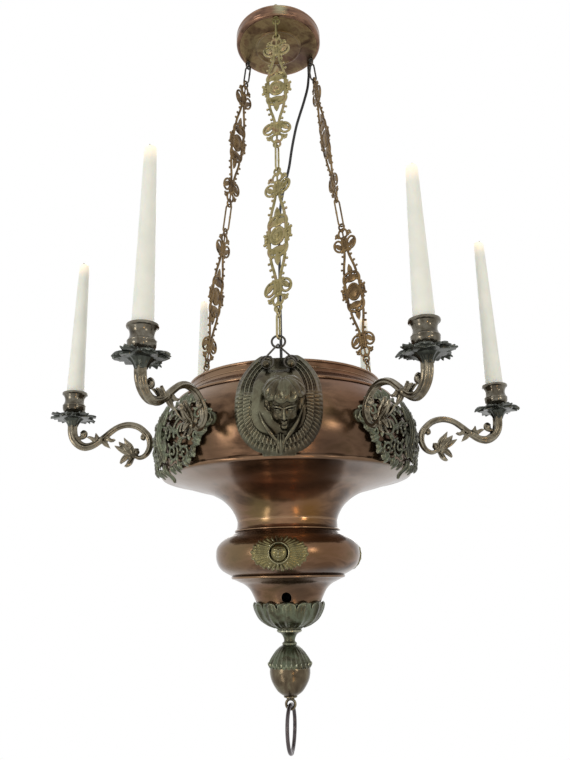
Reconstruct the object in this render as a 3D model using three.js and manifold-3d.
// Church chandelier: a bronze and copper bowl with six scroll arms, hung from a ceiling canopy
// on three openwork chains. Millimetres, +Z up. The origin is the centre of the ceiling plate's top
// face, the front looks along -Y, and everything hangs below.
import * as THREE from 'three';
import { mergeVertices } from 'three/addons/utils/BufferGeometryUtils.js';
import Module from 'manifold-3d';

const wasm = await Module();
wasm.setup();

// Driving dimensions.
// Clearance between pieces that touch, and between a link and what it hangs in.
const clearance = 0.3;
// Play of a link in the eye or link that it hangs in
const linkPlay = 1;
// How far a point may lie off a flat face that is made whole after a join or cut
const flatTolerance = 0.1;

// Ceiling plate and canopy
const ceilingPlateRadius = 40;
const ceilingPlateThickness = 8;
const ceilingScrewCircle = 28;
const ceilingScrewHole = 5;
const ceilingScrewCount = 3;
const canopyRadius = 63.6;
const canopyBand = 14;
const canopyShoulder = 4;
const canopyRingRadius = 31.5;
const canopySegments = 22;

// Canopy hooks, one for each chain
const hookRadius = 57;
const hookWire = 2.8;
const hookEye = 9.2;
const hookNutWidth = 7;
const hookNutHeight = 4;

// Chains
const chainAzimuths = { front: 0, back_right: 120, back_left: 240 };
// Chains and cherubs sit this far round from the arms and plaques.
const chainTurn = -2.5;
const linkWire = 2.6;
const linkWidth = 12;
const topLinkPitch = 30.6;
const middleLinkPitch = 43.3;
const plateLength = 214;
const plateThickness = 3;
const plateBar = 4.2;
const plateEye = 11.4;
const plateEyeHole = 6.4;
const rosetteLength = 42;
const rosetteWidth = 41;
const rosetteColumn = 9;
const medallionLength = 52;
const medallionWidth = 25;
const medallionRing = 15;
const medallionBoss = 9;
const beadSize = 3.6;
const lowerLinkWire = 2.6;
const lowerLinkWidth = 9.6;
const lowerLinkEye = 8.4;
const lowerLinkPitch = 39.2;
const ringWire = 2.5;
const ringDiameter = 15;
const openPivotClearance = 1.5;
const plateYaws = { front: [-10, -30], back_right: [-14, 26], back_left: [0, 8] };
// Share of the lower plate's yaw that its lower link takes
const lowerLinkShare = 0.8;

// Yokes, bent from wire, one on each chain ring
const yokeWire = 2.2;
const yokeLoop = 15.4;
const yokeSpread = 13.6;
const yokeDrop = 20.9;

// Bowl of raised copper, as radius at depth below its rim
const bowlWall = 1.8;
const bowlSegments = 24;
const rimRadius = 121.5;
const bellyRadius = 159;
const ridgeRadius = bellyRadius - 9.5;
const neckRadius = 61;
// Circle that the chain rings hang on
const ringCircleRadius = rimRadius + 15.5;
const rimDepthBelowRing = 14.5;
const collarDepth = 12;
const shoulderDepth = 26;
const bellyDepth = 78;
const ridgeDepth = 119;
const underDepth = 133;
const neckDepth = 170.5;
const bowlBead = 1.6;

// Lower bulb, leaf cup and acorn finial
const bulbRadius = 86.6;
const bulbHeight = 94.5;
const bulbFootRadius = 40;
const wiringHole = 10.5;
const leafCupHeight = 29;
const leafCupLeaves = 12;
const leafTipRise = 6;
const finialNeck = 6.4;
const acornCapRadius = 25.8;
const acornRadius = 23.2;
const acornHeight = 75;
const finialEye = 10.4;
const finialEyeWire = 3.2;
const finialTurn = -10;
const pullRingDiameter = 50;
const pullRingWire = 4.4;

// Cherubs, plaques and sun medallions, cast to lie on the bowl
const reliefThickness = 6;
const cherubHalfWidth = 47;
const cherubHeight = 120;
const cherubRise = 2.5;
const headWidth = 45;
const headHeight = 58;
const headDepth = 46;
const headTilt = 20;
const stemDiameter = 4;
const knobDiameter = 9;
// How far the plaque goes on past the arm seats at its ends
const plaqueOverhang = 3.5;
const plaqueHeight = 92;
const plaqueLobes = 11;
const plaqueHoles = 6;
const sunHalfWidth = 29;
const sunHeight = 42;
const sunRays = 12;
const sunThickness = 2.5;
const sunTurn = -7.5;

// Arms, candle cups and candles
const armAzimuths = [30, 90, 150, 210, 270, 330];
const candleCircle = 272;
const armStem = 11.5;
const armBar = 7.6;
const armSides = 5;
const cupHeight = 31.5;
const cupRimRadius = 15.9;
const cupWaistRadius = 12;
const cupBulgeRadius = 14.4;
const socketDepth = 22;
const socketRadius = 10;
const panRadius = 30;
const panThickness = 2.4;
const panLeaves = 8;
const candleBase = 11;
const candleTip = 6.5;
const candleHeights = [170, 204, 188, 225, 182, 199];

// Flex and lampholder
const flexDiameter = 4;
const flexSides = 6;
const lampHolderRadius = 14;
const lampHolderHeight = 58;
const glandRadius = 3;
const glandHeight = 3;
const flexExitPlace = [48.2, 36];

// Colours
const finishes = {
  copper: { color: 0x8a6a52, roughness: 0.35, metalness: 0.9 },
  bronze: { color: 0x5b5a48, roughness: 0.5, metalness: 0.8 },
  brass: { color: 0x8f8450, roughness: 0.4, metalness: 0.85 },
  darkBrass: { color: 0x6a5b3c, roughness: 0.45, metalness: 0.85 },
  iron: { color: 0x4a4844, roughness: 0.55, metalness: 0.8 },
  verdigris: { color: 0x5f6a58, roughness: 0.65, metalness: 0.5 },
  wax: { color: 0xe8e6d2, roughness: 0.5, metalness: 0 },
  rubber: { color: 0x151515, roughness: 0.6, metalness: 0 },
  bakelite: { color: 0x2b2320, roughness: 0.4, metalness: 0 },
};

const radians = THREE.MathUtils.degToRad;
const model = new THREE.Group();

// Solids

// Merges shared vertices, and turns the faces of an inside-out shell outwards.
function closed(geometry) {
  const bare = geometry.clone();
  bare.deleteAttribute('normal');
  bare.deleteAttribute('uv');
  const merged = mergeVertices(bare, 1e-4);
  const p = merged.getAttribute('position');
  const old = merged.getIndex().array;
  const index = [];
  for (let i = 0; i < old.length; i += 3) {
    const [a, b, c] = [old[i], old[i + 1], old[i + 2]];
    if (a !== b && b !== c && c !== a) index.push(a, b, c);
  }
  const v = (i) => new THREE.Vector3().fromBufferAttribute(p, i);
  let volume = 0;
  for (let i = 0; i < index.length; i += 3) {
    volume += v(index[i]).dot(v(index[i + 1]).cross(v(index[i + 2])));
  }
  if (volume < 0) index.reverse();
  merged.setIndex(index);
  return merged;
}

function solid(geometry) {
  const shell = closed(geometry);
  return new wasm.Manifold(new wasm.Mesh({
    numProp: 3,
    vertProperties: new Float32Array(shell.getAttribute('position').array),
    triVerts: new Uint32Array(shell.getIndex().array),
  }));
}

// The flat faces that a join or cut left in pieces are made whole again.
function geometryOf(manifold) {
  const mesh = manifold.asOriginal().simplify(flatTolerance).getMesh();
  const geometry = new THREE.BufferGeometry();
  geometry.setAttribute('position', new THREE.BufferAttribute(new Float32Array(mesh.vertProperties), 3));
  geometry.setIndex(new THREE.BufferAttribute(new Uint32Array(mesh.triVerts), 1));
  return geometry;
}

function fuse(geometries) {
  return geometries.map(solid).reduce((whole, piece) => whole.add(piece));
}

// Profile of [radius, height] points, from the axis round to the axis, or closed on itself
function revolve(profile, segments) {
  const points = profile.map(([r, z]) => new THREE.Vector2(r, z));
  return new THREE.LatheGeometry(points, segments).rotateX(Math.PI / 2);
}

// Flat shape drawn in x and z, standing up, with its thickness along y
function slab(shape, thickness, curveSegments = 3) {
  const options = { depth: thickness, bevelEnabled: false, curveSegments };
  return new THREE.ExtrudeGeometry(shape, options).translate(0, 0, -thickness / 2).rotateX(Math.PI / 2);
}

function polygon(points) {
  return new THREE.Shape(points.map(([x, z]) => new THREE.Vector2(x, z)));
}

function circlePoints(x, z, rx, rz, count, turn = 0) {
  return Array.from({ length: count }, (_, i) => {
    const a = turn + (2 * Math.PI * i) / count;
    return [x + rx * Math.cos(a), z + rz * Math.sin(a)];
  });
}

function barShape([x0, z0], [x1, z1], width) {
  const along = new THREE.Vector2(x1 - x0, z1 - z0).normalize();
  const [ox, oz] = [(-along.y * width) / 2, (along.x * width) / 2];
  return polygon([[x0 + ox, z0 + oz], [x0 - ox, z0 - oz], [x1 - ox, z1 - oz], [x1 + ox, z1 + oz]]);
}

// Closed oval wire in the x and z plane, from its top arc at z = 0 down to z = -pitch
function wireOval(width, pitch, wire, sides = 5, arcSteps = 5) {
  const r = (width - wire) / 2;
  const points = [];
  for (let i = 0; i <= arcSteps; i += 1) {
    const a = (Math.PI * i) / arcSteps;
    points.push(new THREE.Vector3(r * Math.cos(a), 0, -r + r * Math.sin(a)));
  }
  for (let i = 0; i <= arcSteps; i += 1) {
    const a = Math.PI + (Math.PI * i) / arcSteps;
    points.push(new THREE.Vector3(r * Math.cos(a), 0, -pitch + r + r * Math.sin(a)));
  }
  return wireTube(points, points.map(() => wire / 2), sides, true);
}

// Tube through points with its own radius at each, round ends closed by flat caps unless it is a loop
function wireTube(points, radii, sides, loop = false, flatten = 1) {
  const count = points.length;
  const position = [];
  const index = [];
  const side = new THREE.Vector3(0, 1, 0);
  points.forEach((point, i) => {
    const before = points[loop ? (i + count - 1) % count : Math.max(i - 1, 0)];
    const after = points[loop ? (i + 1) % count : Math.min(i + 1, count - 1)];
    const along = after.clone().sub(before).normalize();
    side.addScaledVector(along, -side.dot(along)).normalize();
    const up = side.clone().cross(along);
    for (let k = 0; k < sides; k += 1) {
      const a = (2 * Math.PI * (k + 0.5)) / sides;
      const rim = point.clone().addScaledVector(side, radii[i] * flatten * Math.cos(a));
      position.push(...rim.addScaledVector(up, radii[i] * Math.sin(a)).toArray());
    }
  });
  const rings = loop ? count : count - 1;
  for (let i = 0; i < rings; i += 1) {
    for (let k = 0; k < sides; k += 1) {
      const a = i * sides + k;
      const b = i * sides + ((k + 1) % sides);
      const c = ((i + 1) % count) * sides + k;
      const d = ((i + 1) % count) * sides + ((k + 1) % sides);
      index.push(a, b, d, a, d, c);
    }
  }
  if (!loop) {
    const last = (count - 1) * sides;
    for (let k = 1; k < sides - 1; k += 1) {
      index.push(0, k + 1, k);
      index.push(last, last + k, last + k + 1);
    }
  }
  const geometry = new THREE.BufferGeometry();
  geometry.setAttribute('position', new THREE.Float32BufferAttribute(position, 3));
  geometry.setIndex(index);
  return geometry;
}

function addPiece(parent, name, geometry, finish) {
  const shape = geometry.isBufferGeometry ? closed(geometry) : geometryOf(geometry);
  const mesh = new THREE.Mesh(shape, new THREE.MeshStandardMaterial(finishes[finish]));
  mesh.name = name;
  parent.add(mesh);
  return mesh;
}

function turned(parent, azimuth) {
  const group = new THREE.Group();
  group.rotation.z = radians(azimuth);
  parent.add(group);
  return group;
}

// Ceiling plate and canopy

function ceilingPlate() {
  const disc = revolve([[0, -ceilingPlateThickness], [ceilingPlateRadius, -ceilingPlateThickness],
    [ceilingPlateRadius, 0], [0, 0]], canopySegments);
  let plate = solid(disc);
  for (let i = 0; i < ceilingScrewCount; i += 1) {
    const a = radians(60 + (360 * i) / ceilingScrewCount);
    const drill = new THREE.CylinderGeometry(ceilingScrewHole / 2, ceilingScrewHole / 2, 30, 6);
    const [x, y] = [ceilingScrewCircle * Math.cos(a), ceilingScrewCircle * Math.sin(a)];
    drill.rotateX(Math.PI / 2).translate(x, y, 0);
    plate = plate.subtract(solid(drill));
  }
  return plate;
}

const canopyTop = -(ceilingPlateThickness + clearance);
const canopyUnder = canopyTop - canopyBand - canopyShoulder;
const flexExit = new THREE.Vector3(...flexExitPlace, canopyUnder - glandHeight - clearance);

function canopy() {
  const shoulderBottom = canopyUnder + canopyShoulder;
  const profile = [[0, canopyUnder - 1], [canopyRingRadius, canopyUnder - 0.5],
    [canopyRingRadius + 1.5, canopyUnder - 1.6], [canopyRingRadius + 3, canopyUnder - 0.5],
    [canopyRadius - 6, canopyUnder], [canopyRadius - 2, canopyUnder + canopyShoulder / 4],
    [canopyRadius, shoulderBottom], [canopyRadius, canopyTop - 1], [canopyRadius - 1, canopyTop],
    [0, canopyTop]];
  let shell = solid(revolve(profile, canopySegments));
  const glandRoot = canopyShoulder + 2;
  const glandLength = glandHeight + glandRoot;
  const gland = new THREE.CylinderGeometry(glandRadius, glandRadius, glandLength, 8).rotateX(Math.PI / 2);
  gland.translate(flexExit.x, flexExit.y, canopyUnder + (glandRoot - glandHeight) / 2);
  shell = shell.add(solid(gland));
  for (const azimuth of Object.values(chainAzimuths)) {
    const drill = new THREE.CylinderGeometry(hookWire / 2 + clearance, hookWire / 2 + clearance, 60, 6);
    drill.rotateX(Math.PI / 2).translate(0, -hookRadius, canopyUnder).rotateZ(radians(azimuth + chainTurn));
    shell = shell.subtract(solid(drill));
  }
  return shell;
}

// The eye hangs under the canopy, its shank goes up through it and a nut holds it on top.
const hookEyeZ = canopyUnder - clearance - (hookEye + hookWire) / 2;
const hookPivotZ = hookEyeZ - hookEye / 2;

function canopyHook() {
  const eye = new THREE.TorusGeometry(hookEye / 2, hookWire / 2, 5, 8).rotateX(Math.PI / 2);
  eye.translate(0, 0, hookEyeZ);
  const shankTop = canopyTop + clearance + hookNutHeight;
  const shankBottom = hookEyeZ + hookEye / 2;
  const shank = new THREE.CylinderGeometry(hookWire / 2, hookWire / 2, shankTop - shankBottom, 6);
  shank.rotateX(Math.PI / 2).translate(0, 0, (shankTop + shankBottom) / 2);
  const nut = new THREE.CylinderGeometry(hookNutWidth / 2, hookNutWidth / 2, hookNutHeight, 6);
  nut.rotateX(Math.PI / 2).translate(0, 0, shankTop - hookNutHeight / 2);
  return fuse([eye, shank, nut]);
}

// Chains, each drawn hanging straight down from the hook's bottom wire at z = 0

const eyeWall = (plateEye - plateEyeHole) / 2;
const seatInEye = eyeWall + linkPlay + linkWire / 2;
const stations = {};
stations.topLink = -(hookWire / 2 + linkWire / 2 + linkPlay);
stations.upperPlate = stations.topLink + topLinkPitch - seatInEye;
stations.middleLink = stations.upperPlate + plateLength - seatInEye;
stations.lowerPlate = stations.middleLink + middleLinkPitch - seatInEye;
stations.lowerLink = stations.lowerPlate + plateLength - eyeWall - 1.2 * linkPlay - lowerLinkWire / 2;
stations.ringTop = stations.lowerLink + lowerLinkPitch - (lowerLinkWire + ringWire) / 2 - linkPlay;
stations.ring = stations.ringTop + ringDiameter / 2;
stations.ringBottom = stations.ringTop + ringDiameter;
const chainLean = Math.asin((ringCircleRadius - hookRadius) / stations.ring);
const ringZ = hookPivotZ - stations.ring * Math.cos(chainLean);
const rimZ = ringZ - rimDepthBelowRing;

// Oval plate with an oval window
function ovalPlate(x, z, rx, rz, bar, count, turn = 0, windowCount = count) {
  const shape = polygon(circlePoints(x, z, rx, rz, count, turn));
  shape.holes.push(polygon(circlePoints(x, z, rx - bar, rz - bar, windowCount, turn).reverse()));
  return shape;
}

// Slotted column with an open loop on each side
function rosette(middle) {
  const half = rosetteLength / 2 - 6.5;
  const column = polygon([[-rosetteColumn / 2, middle - half], [rosetteColumn / 2, middle - half],
    [rosetteColumn / 2, middle + half], [-rosetteColumn / 2, middle + half]]);
  const slot = [rosetteColumn / 2 - plateBar * 0.75, half * 0.55];
  column.holes.push(polygon(circlePoints(0, middle, slot[0], slot[1], 4).reverse()));
  const radius = (rosetteWidth - rosetteColumn + 3) / 2 / (1 + Math.cos(Math.PI / 5));
  const loops = [-1, 1].map((side) => ovalPlate(side * (rosetteWidth / 2 - radius), middle + 1, radius,
    radius + 1.5, plateBar * 0.8, 5, side > 0 ? 0 : Math.PI, 4));
  return [column, ...loops];
}

// Openwork chain plate, from z = 0 down: eye, rosette, spreading bars, medallion, closing bars, rosette, eye
function chainPlate() {
  const topRosette = -rosetteLength / 2;
  const endRosette = -plateLength + rosetteLength / 2;
  const middle = -(rosetteLength + (plateLength - 2 * rosetteLength) * 0.45);
  const top = middle + medallionLength / 2 - 3;
  const end = middle - medallionLength / 2 + 3;
  const narrow = rosetteColumn / 2 - plateBar / 2;
  const wide = medallionWidth / 2 - plateBar * 0.9;
  const medallion = polygon([[0, top + 9], [-3.5, top - 1], [-medallionWidth / 2, top - 9],
    [-medallionWidth / 2 - 1, middle - 3], [-medallionWidth / 2, end + 9], [-3.5, end + 1], [0, end - 9],
    [3.5, end + 1], [medallionWidth / 2, end + 9], [medallionWidth / 2 + 1, middle - 3],
    [medallionWidth / 2, top - 9], [3.5, top - 1]]);
  for (const side of [-1, 1]) {
    const slotX = side * (medallionWidth / 2 - plateBar * 0.95);
    medallion.holes.push(polygon(circlePoints(slotX, middle - 1, 2.2, 9, 4)));
  }
  const flat = [...rosette(topRosette), ...rosette(endRosette), medallion];
  for (const z of [-plateEye / 2, -plateLength + plateEye / 2]) {
    flat.push(ovalPlate(0, z, plateEye / 2, plateEye / 2, eyeWall, 6, Math.PI / 6));
  }
  for (const side of [-1, 1]) {
    const upper = [[side * narrow, topRosette - 11], [side * wide, top - 8]];
    const lower = [[side * wide, end + 8], [side * narrow, endRosette + 11]];
    for (const [from, to] of [upper, lower]) {
      flat.push(barShape(from, to, plateBar));
      const x = (from[0] + to[0] + side * (plateBar + beadSize * 0.4)) / 2;
      flat.push(polygon(circlePoints(x, (from[1] + to[1]) / 2, beadSize / 2, beadSize / 2, 3)));
    }
    const inside = side * (medallionWidth / 2 - 1);
    const tip = side * (rosetteWidth / 2);
    flat.push(polygon([[inside, middle - 1], [tip * 0.85, middle - 4], [tip, middle + 2],
      [tip * 0.85, middle + 8], [inside, middle + 5]]));
  }
  const bossHeight = plateThickness / 2 + 1.5;
  const boss = new THREE.CylinderGeometry(medallionBoss / 2, medallionRing / 2, bossHeight, 6);
  boss.rotateX(Math.PI).translate(0, -bossHeight / 2, middle);
  return fuse([...flat.map((shape) => slab(shape, plateThickness)), boss]);
}

// Long link with a small round eye at its top, both in one plane
function lowerLink(pitch) {
  const eye = new THREE.TorusGeometry(lowerLinkEye / 2, lowerLinkWire / 2, 5, 8).rotateX(Math.PI / 2);
  eye.rotateY(Math.PI / 8).translate(0, 0, -lowerLinkEye / 2);
  const longTop = lowerLinkEye + lowerLinkWire * 0.4;
  const long = wireOval(lowerLinkWidth, pitch - longTop, lowerLinkWire, 5, 3).translate(0, 0, -longTop);
  return fuse([eye, long]);
}

function chainRing() {
  const ring = new THREE.TorusGeometry(ringDiameter / 2, ringWire / 2, 5, 10);
  return ring.rotateX(Math.PI / 2).rotateY(Math.PI / 10);
}

// Wire bent to an inverted V over the ring's bottom wire, each end curled into a loop round a stem
const yokeTop = {
  y: -(hookRadius + stations.ringBottom * Math.sin(chainLean)),
  z: hookPivotZ - stations.ringBottom * Math.cos(chainLean) + (ringWire + yokeWire) / 2 + 1.2 * linkPlay,
};
const loopY = yokeTop.y - 1.5;
const loopZ = yokeTop.z - yokeDrop;
const stemZ = loopZ - yokeLoop / 2 + (yokeWire + stemDiameter) / 2 + linkPlay;

function yoke() {
  const half = (side) => {
    const points = [];
    for (let turn = -280; turn <= 0; turn += 56) {
      const a = radians(turn);
      const x = side * (-yokeSpread + (yokeLoop / 2) * Math.cos(a));
      points.push(new THREE.Vector3(x, loopY, loopZ + (yokeLoop / 2) * Math.sin(a)));
    }
    const crossing = (ringWire + yokeWire) / 2 + linkPlay;
    points.push(new THREE.Vector3(-side * 2.4, yokeTop.y - side * crossing, yokeTop.z - 3.2));
    return points;
  };
  const path = [...half(1), new THREE.Vector3(0, yokeTop.y, yokeTop.z), ...half(-1).reverse()];
  return wireTube(path, path.map(() => yokeWire / 2), 5);
}

function buildChain(name, azimuth) {
  const side = turned(model, azimuth + chainTurn);
  const hook = addPiece(side, `canopy_hook_${name}`, canopyHook(), 'iron');
  hook.position.y = -hookRadius;
  const chain = new THREE.Group();
  chain.position.set(0, -hookRadius, hookPivotZ);
  chain.rotation.x = -chainLean;
  side.add(chain);
  const finish = name === 'front' ? 'brass' : 'darkBrass';
  const [upperYaw, lowerYaw] = plateYaws[name];
  const hang = (part, geometry, station, yaw, look) => {
    const mesh = addPiece(chain, `${part}_${name}`, geometry, look);
    mesh.position.z = -station;
    mesh.rotation.z = radians(yaw);
  };
  const slack = name === 'front' ? 0 : openPivotClearance;
  hang('top_link', wireOval(linkWidth, topLinkPitch, linkWire), stations.topLink, 90 + upperYaw / 2, 'iron');
  hang('upper_plate', chainPlate(), stations.upperPlate, upperYaw, finish);
  hang('middle_link', wireOval(linkWidth, middleLinkPitch, linkWire), stations.middleLink,
    90 + (upperYaw + lowerYaw) / 2, finish);
  hang('lower_plate', chainPlate(), stations.lowerPlate, lowerYaw, finish);
  const linkYaw = 90 + lowerLinkShare * lowerYaw;
  hang('lower_link', lowerLink(lowerLinkPitch + slack), stations.lowerLink, linkYaw, finish);
  hang('ring', chainRing(), stations.ring, 0, 'iron');
  addPiece(side, `yoke_${name}`, yoke(), 'iron');
}

// Bowl, as radius and depth below the rim

// Radius at a share of the way from the rim out to the belly, and from the neck out to the ridge
const swell = (share) => rimRadius + share * (bellyRadius - rimRadius);
const under = (share) => neckRadius + share * (ridgeRadius - neckRadius);
const bowlOutline = [[rimRadius, 0], [swell(0.03), collarDepth], [swell(0.21), collarDepth + 7],
  [swell(0.41), shoulderDepth], [swell(0.66), shoulderDepth + 12], [swell(0.88), bellyDepth - 27],
  [swell(0.98), bellyDepth - 12], [bellyRadius, bellyDepth], [bellyRadius - 3, bellyDepth + 18],
  [ridgeRadius + 3, ridgeDepth - 6], [ridgeRadius, ridgeDepth], [under(0.43), underDepth + 0.6],
  [under(0.29), underDepth + 6], [under(0.19), underDepth + 12], [under(0.09), underDepth + 21],
  [under(0.03), underDepth + 31], [neckRadius, neckDepth]];

// The outside with its three raised beads
const rimBead = [[rimRadius + bowlBead, 0], [rimRadius + 0.2, 2 * bowlBead]];
const shoulderBead = [[swell(0.38), shoulderDepth - 1.6], [swell(0.44), shoulderDepth - 0.4]];
const ridgeBead = [[ridgeRadius + 2, ridgeDepth - 3], [ridgeRadius + bowlBead + 0.6, ridgeDepth - 1]];
const bowlOutside = [...rimBead, ...bowlOutline.slice(1, 3), ...shoulderBead, ...bowlOutline.slice(4, 9),
  ...ridgeBead, ...bowlOutline.slice(10)];

// Solid of the bowl's outside, grown sideways, that castings are cut to
function bowlBody(growth, kept) {
  const outline = kept.map(([r, depth]) => [r + growth, rimZ - depth]);
  const lid = [[0, rimZ + 40], [rimRadius + growth, rimZ + 40]];
  return revolve([...lid, ...outline, [0, rimZ - neckDepth]], bowlSegments);
}

function bowl() {
  const inner = bowlOutline.map(([r, depth], i) => {
    const [r0, d0] = bowlOutline[Math.max(i - 1, 0)];
    const [r1, d1] = bowlOutline[Math.min(i + 1, bowlOutline.length - 1)];
    const length = Math.hypot(r1 - r0, d1 - d0);
    return [r - (bowlWall * (d1 - d0)) / length, depth + (bowlWall * (r1 - r0)) / length];
  }).filter((_, i) => ![2, 4, 6, 7, 9, 12, 14].includes(i));
  const floorDepth = neckDepth - bowlWall;
  inner[0][1] = 0;
  inner[inner.length - 1][1] = floorDepth;
  const profile = [[0, floorDepth], ...inner.reverse(), ...bowlOutside, [0, neckDepth]];
  return revolve(profile.map(([r, depth]) => [r, rimZ - depth]), bowlSegments);
}

// Closed bulb under the bowl, as radius and depth below its own top
const bulbTop = rimZ - neckDepth - clearance;
const bulbOutline = [[neckRadius, 0], [neckRadius + 3.6, 6], [neckRadius + 6.4, 13], [bulbRadius - 11.6, 19],
  [bulbRadius - 3.6, 26], [bulbRadius, 39], [bulbRadius - 3.1, 52], [bulbRadius - 18, 63.6],
  [bulbRadius - 20.4, 66.4], [bulbFootRadius + 12.4, 73], [bulbFootRadius + 6.2, 79],
  [bulbFootRadius, bulbHeight]];

function bulbBody(growth) {
  const outline = bulbOutline.map(([r, depth]) => [r + growth, bulbTop - depth]);
  return revolve([[0, bulbTop], ...outline, [0, bulbTop - bulbHeight]], bowlSegments);
}

function lowerBulb() {
  const drill = new THREE.CylinderGeometry(wiringHole / 2, wiringHole / 2, 30, 10);
  drill.translate(0, -bulbFootRadius + 2, bulbTop - bulbHeight + 9);
  return solid(bulbBody(0)).subtract(solid(drill));
}

// Leaf cup holding the bulb's foot, with a crown of leaves standing round it
const leafCupTop = bulbTop - bulbHeight - clearance;

function leafCup() {
  const r = bulbFootRadius;
  const profile = [[0, leafCupTop], [r + clearance, leafCupTop], [r + 2.4, leafCupTop + leafTipRise],
    [r + 3.6, leafCupTop + leafTipRise - 0.4], [r + 1.4, leafCupTop - 1.5], [r - 5, leafCupTop - 14.5],
    [r - 12, leafCupTop - 21], [r - 22.7, leafCupTop - 25.3], [r - 25, leafCupTop - leafCupHeight],
    [0, leafCupTop - leafCupHeight]];
  const cup = revolve(profile, 2 * leafCupLeaves);
  const p = cup.getAttribute('position');
  for (let i = 0; i < p.count; i += 1) {
    const [x, y, z] = [p.getX(i), p.getY(i), p.getZ(i)];
    const valley = Math.cos(leafCupLeaves * Math.atan2(y, x)) < 0;
    if (valley && z > leafCupTop + 1) p.setXYZ(i, x * 0.985, y * 0.985, z - leafTipRise * 0.75);
  }
  return cup;
}

const finialTop = leafCupTop - leafCupHeight - clearance;
const eyeZ = finialTop - acornHeight - finialEye / 2;

function acornFinial() {
  const profile = [[0, 0], [14.6, 0], [14.6, 2], [finialNeck + 1, 8], [finialNeck, 12], [12, 18], [20, 27],
    [acornCapRadius, 38], [acornCapRadius, 40.5], [acornRadius, 41.5], [acornRadius, 48], [15, 67],
    [6.2, 71.5], [4, acornHeight - 1], [0, acornHeight - 1]];
  const body = revolve(profile.map(([r, depth]) => [r, finialTop - depth]), 12);
  const eye = new THREE.TorusGeometry(finialEye / 2, finialEyeWire / 2, 5, 8).rotateX(Math.PI / 2);
  eye.translate(0, 0, eyeZ);
  return fuse([body, eye]);
}

// Ring through the finial's eye, its plane square to the eye's
const pullRingTop = eyeZ - finialEye / 2 + (finialEyeWire + pullRingWire) / 2 + linkPlay;

function pullRing() {
  const ring = new THREE.TorusGeometry(pullRingDiameter / 2, pullRingWire / 2, 5, 18).rotateY(Math.PI / 2);
  return ring.translate(0, 0, pullRingTop - pullRingDiameter / 2);
}

// Castings on the bowl

function prism(points, near, far) {
  const shape = polygon(points);
  return slab(shape, far - near).translate(0, -(near + far) / 2, 0);
}

const bowlCut = solid(bowlBody(clearance, bowlOutside));
const bowlSkin = solid(bowlBody(reliefThickness, bowlOutline.filter((_, i) => i % 2 === 1 || i > 9)))
  .subtract(bowlCut);

// How far out the prisms that shape castings reach
const castingReach = 1.3 * bellyRadius;

// Winged head: half outline of the wings as shares of half width and height, from the dip over the head
function cherub() {
  const half = [[0, 0.035], [0.16, 0.02], [0.26, 0], [0.42, 0], [0.56, 0.03], [0.7, 0.09], [0.85, 0.19],
    [0.95, 0.3], [0.99, 0.42], [1, 0.54], [0.98, 0.66], [0.9, 0.78], [0.72, 0.89], [0.44, 0.965], [0, 1]];
  const wingTop = rimZ + cherubRise;
  const right = half.map(([x, d]) => [x * cherubHalfWidth, wingTop - d * cherubHeight]);
  const left = right.slice(1, -1).map(([x, z]) => [-x, z]).reverse();
  const cut = bowlCut.rotate([0, 0, -chainTurn]);
  const skin = bowlSkin.rotate([0, 0, -chainTurn]);
  let casting = solid(prism([...right, ...left].reverse(), neckRadius, castingReach)).intersect(skin);
  const head = new THREE.SphereGeometry(1, 9, 6).scale(headWidth / 2, headDepth / 2, headHeight / 2);
  head.rotateX(radians(headTilt)).translate(0, -bellyRadius - 3, rimZ - bellyDepth + 12);
  casting = casting.add(solid(head));
  for (const x of [-yokeSpread, yokeSpread]) {
    const inner = -(rimRadius - stemDiameter);
    const outer = loopY - yokeWire / 2 - clearance - knobDiameter / 2;
    const stem = new THREE.CylinderGeometry(stemDiameter / 2, stemDiameter / 2, inner - outer, 6);
    const knob = new THREE.IcosahedronGeometry(knobDiameter / 2, 0).translate(x, outer, stemZ);
    casting = casting.add(solid(stem.translate(x, (inner + outer) / 2, stemZ))).add(solid(knob));
  }
  return casting.subtract(cut);
}

// Pierced plaque between two arms, with a pad under each
const armSeatZ = rimZ - bellyDepth + 6;
const armSeatRadius = bellyRadius + reliefThickness + 2.6;
const armSeatAngle = 30;
const plaqueHalfWidth = (bellyRadius + reliefThickness) * Math.sin(radians(armSeatAngle)) + plaqueOverhang;

function plaque() {
  const middle = rimZ - bellyDepth + 1;
  const outline = circlePoints(0, 0, 1, 1, 2 * plaqueLobes).map(([x, z], i) => {
    const reach = i % 2 ? 0.93 : 1;
    return [x * reach * plaqueHalfWidth, middle + (z * reach * plaqueHeight) / 2];
  });
  let casting = solid(prism(outline, neckRadius, castingReach)).intersect(bowlSkin);
  for (let i = 0; i < plaqueHoles; i += 1) {
    const a = (2 * Math.PI * (i + 0.5)) / plaqueHoles;
    const x = 0.58 * plaqueHalfWidth * Math.cos(a);
    const z = middle + 0.29 * plaqueHeight * Math.sin(a);
    casting = casting.subtract(solid(prism(circlePoints(x, z, 8, 4.5, 4, a), neckRadius, castingReach)));
  }
  for (const azimuth of [-armSeatAngle, armSeatAngle]) {
    const pad = new THREE.CylinderGeometry(5, 7, 12, 8).rotateX(Math.PI);
    pad.translate(0, -armSeatRadius + 6, armSeatZ).rotateZ(radians(azimuth));
    casting = casting.add(solid(pad));
  }
  return casting.subtract(bowlCut);
}

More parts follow.
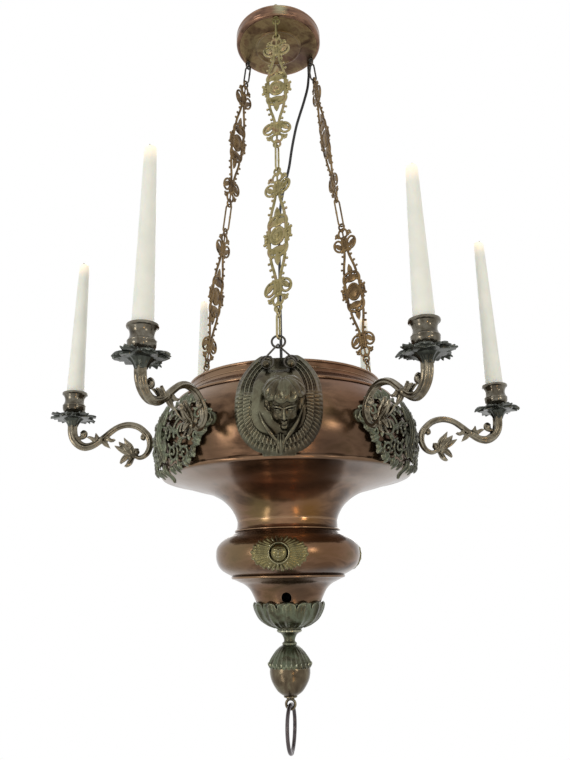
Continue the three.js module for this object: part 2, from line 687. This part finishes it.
function sunMedallion() {
  const middle = bulbTop - 39;
  const outline = circlePoints(0, 0, 1, 1, 2 * sunRays).map(([x, z], i) => {
    const reach = i % 2 ? 0.86 : 1;
    return [x * reach * sunHalfWidth, middle + (z * reach * sunHeight) / 2];
  });
  const facets = radians(-sunTurn);
  const cut = solid(bulbBody(clearance).rotateZ(facets));
  const skin = solid(bulbBody(clearance + sunThickness).rotateZ(facets)).subtract(cut);
  const boss = new THREE.SphereGeometry(1, 8, 4).scale(11, 5.5, 10).translate(0, -bulbRadius - 1, middle);
  const disc = solid(prism(outline, bulbFootRadius, 1.3 * bulbRadius)).intersect(skin);
  return disc.add(solid(boss)).subtract(cut);
}

// Arms, drawn in a radial plane: x runs outwards from the seat on the plaque to the cup, z up from the seat

const cupRimZ = rimZ - 1.5;
const cupFootZ = cupRimZ - cupHeight;
const armBack = armSeatRadius + clearance + armBar / 2;
const armReach = candleCircle - armBack;
const armRise = cupFootZ - panThickness - clearance - armSeatZ;
const armPoint = ([x, z]) => new THREE.Vector3(armBack + x * armReach, 0, armSeatZ + z * armRise);

// Radii of curls and buds are in hundredths of the arm's reach.
function curl(points, startRadius, endRadius, sides = 5) {
  const step = (endRadius - startRadius) / (points.length - 1);
  const radii = points.map((_, i) => (startRadius + step * i) * (armReach / 100));
  return wireTube(points.map(armPoint), radii, sides);
}

function bud([x, z], radius) {
  const place = armPoint([x, z]);
  return new THREE.IcosahedronGeometry(radius * (armReach / 100), 0).translate(place.x, 0, place.z);
}

function arm() {
  const scroll = [[1, 1], [0.99, 0.45], [0.96, 0.2], [0.88, -0.02], [0.78, -0.08], [0.69, 0.04],
    [0.53, 0.47], [0.38, 0.78], [0.25, 0.82], [0.12, 0.66], [0.03, 0.34], [0, 0], [0.04, -0.32],
    [0.12, -0.48], [0.2, -0.44], [0.22, -0.28]];
  const half = scroll.length / 2;
  const radii = scroll.map((_, i) => (i < half ? armStem + ((armBar - armStem) * i) / half : armBar) / 2);
  const leaf = [[0.2, -0.4], [0.33, -0.05], [0.38, 0.16], [0.48, 0.04], [0.41, -0.3], [0.43, -0.54],
    [0.37, -0.72], [0.34, -0.42], [0.28, -0.4], [0.22, -0.62]];
  return fuse([wireTube(scroll.map(armPoint), radii, armSides),
    curl([[0.93, 0.14], [0.9, 0.45], [0.86, 0.62], [0.83, 0.5]], 2.6, 2, 4),
    bud([0.845, 0.46], 3.6),
    curl([[0.6, 0.2], [0.7, 0.56]], 3.2, 0.8, 4),
    curl([[0.62, 0.3], [0.52, -0.05]], 3.2, 0.8, 4),
    curl([[0.03, 0.24], [0.08, 0.36]], 1.8, 1.8, 4),
    bud([0.08, 0.36], 3.6),
    bud([0.19, -0.24], 4.6),
    slab(polygon(leaf.map(armPoint).map((v) => [v.x, v.z]).reverse()), 5)]);
}

// Candle cup with its leafy drip pan
function candleCup() {
  const bottom = cupRimZ - socketDepth;
  const profile = [[0, cupFootZ - 1], [6.5, cupFootZ - 1], [cupBulgeRadius - 3.5, cupFootZ + 6],
    [cupBulgeRadius, cupFootZ + 12], [cupWaistRadius, cupFootZ + 21.5], [cupRimRadius - 1.5, cupRimZ - 4.5],
    [cupRimRadius, cupRimZ - 2], [cupRimRadius, cupRimZ], [socketRadius, cupRimZ], [socketRadius, bottom],
    [0, bottom]];
  const pan = circlePoints(0, 0, panRadius, panRadius, 2 * panLeaves)
    .map(([x, y], i) => (i % 2 ? [x * 0.8, y * 0.8] : [x, y]));
  const leaves = new THREE.ExtrudeGeometry(polygon(pan), { depth: panThickness, bevelEnabled: false });
  leaves.translate(0, 0, cupFootZ - panThickness);
  return fuse([revolve(profile, 10), leaves]);
}

function candle(height) {
  const spigot = socketRadius - clearance;
  const bottom = cupRimZ - socketDepth + clearance;
  const top = cupRimZ + height;
  const foot = cupRimZ + clearance;
  return revolve([[0, bottom], [spigot, bottom], [spigot, foot], [candleBase, foot], [candleTip, top],
    [0, top]], 10);
}

// Flex from the canopy's gland to the lampholder hanging inside the bowl

const lampHolderTop = rimZ - 40;
const lampHolderPlace = new THREE.Vector2(-4, 2);

// Points as x, y and the share of the drop to the lampholder
function flexRoute() {
  const { x, y } = lampHolderPlace;
  const bend = [[47.8, 35.6, 0.015], [46.2, 34.2, 0.045], [43.8, 32.4, 0.08], [37, 29, 0.13],
    [30.8, 26, 0.17], [25, 22.6, 0.21], [19.6, 18.6, 0.26], [16, 15.4, 0.3], [12.4, 12, 0.345],
    [7, 8.4, 0.39], [1, 5.4, 0.44], [-2.4, 3.4, 0.49], [-3.8, 2.3, 0.55]];
  const run = [0.63, 0.73, 0.82, 0.91].map((share) => [x, y, share]);
  const bottom = lampHolderTop + clearance;
  const drop = flexExit.z - bottom;
  const points = [[...flexExitPlace, 0], ...bend, ...run, [x, y, 1]].map(([px, py, share]) =>
    new THREE.Vector3(px, py, flexExit.z - share * drop));
  return new THREE.CatmullRomCurve3(points, false, 'centripetal');
}

function flex() {
  const route = flexRoute();
  const steps = Math.round(route.getLength() / (5 * flexDiameter));
  const section = polygon(circlePoints(0, 0, flexDiameter / 2, flexDiameter / 2, flexSides));
  return new THREE.ExtrudeGeometry(section, { steps, bevelEnabled: false, extrudePath: route });
}

function lampHolder() {
  const r = lampHolderRadius;
  const profile = [[0, 0], [4, 0], [r - 3, 15], [r, 20], [r, 36], [r + 1.5, 38], [r + 1.5, 44],
    [r - 1, lampHolderHeight], [r - 3, lampHolderHeight], [r - 3, 34], [0, 34]];
  const shell = revolve(profile.map(([radius, depth]) => [radius, lampHolderTop - depth]), 10);
  return shell.translate(lampHolderPlace.x, lampHolderPlace.y, 0);
}

// Assembly

addPiece(model, 'ceiling_plate', ceilingPlate(), 'iron');
addPiece(model, 'canopy', canopy(), 'copper');
addPiece(model, 'flex', flex(), 'rubber');
addPiece(model, 'lamp_holder', lampHolder(), 'bakelite');

for (const [name, azimuth] of Object.entries(chainAzimuths)) {
  buildChain(name, azimuth);
  addPiece(turned(model, azimuth + chainTurn), `cherub_${name}`, cherub(), 'verdigris');
  const between = { front: 'right', back_right: 'back', back_left: 'left' }[name];
  addPiece(turned(model, azimuth + 60), `plaque_${between}`, plaque(), 'verdigris');
  addPiece(turned(model, azimuth + sunTurn), `sun_medallion_${name}`, sunMedallion(), 'brass');
}

addPiece(model, 'bowl', bowl(), 'copper');
addPiece(model, 'lower_bulb', lowerBulb(), 'copper');
addPiece(model, 'leaf_cup', leafCup(), 'verdigris');
const finialGroup = turned(model, finialTurn);
addPiece(finialGroup, 'acorn_finial', acornFinial(), 'verdigris');
addPiece(finialGroup, 'pull_ring', pullRing(), 'bronze');

armAzimuths.forEach((azimuth, i) => {
  const radial = turned(model, azimuth - 90);
  addPiece(radial, `arm_${i + 1}`, arm(), 'bronze');
  addPiece(radial, `candle_cup_${i + 1}`, candleCup(), 'bronze').position.x = candleCircle;
  addPiece(radial, `candle_${i + 1}`, candle(candleHeights[i]), 'wax').position.x = candleCircle;
});

export default model;
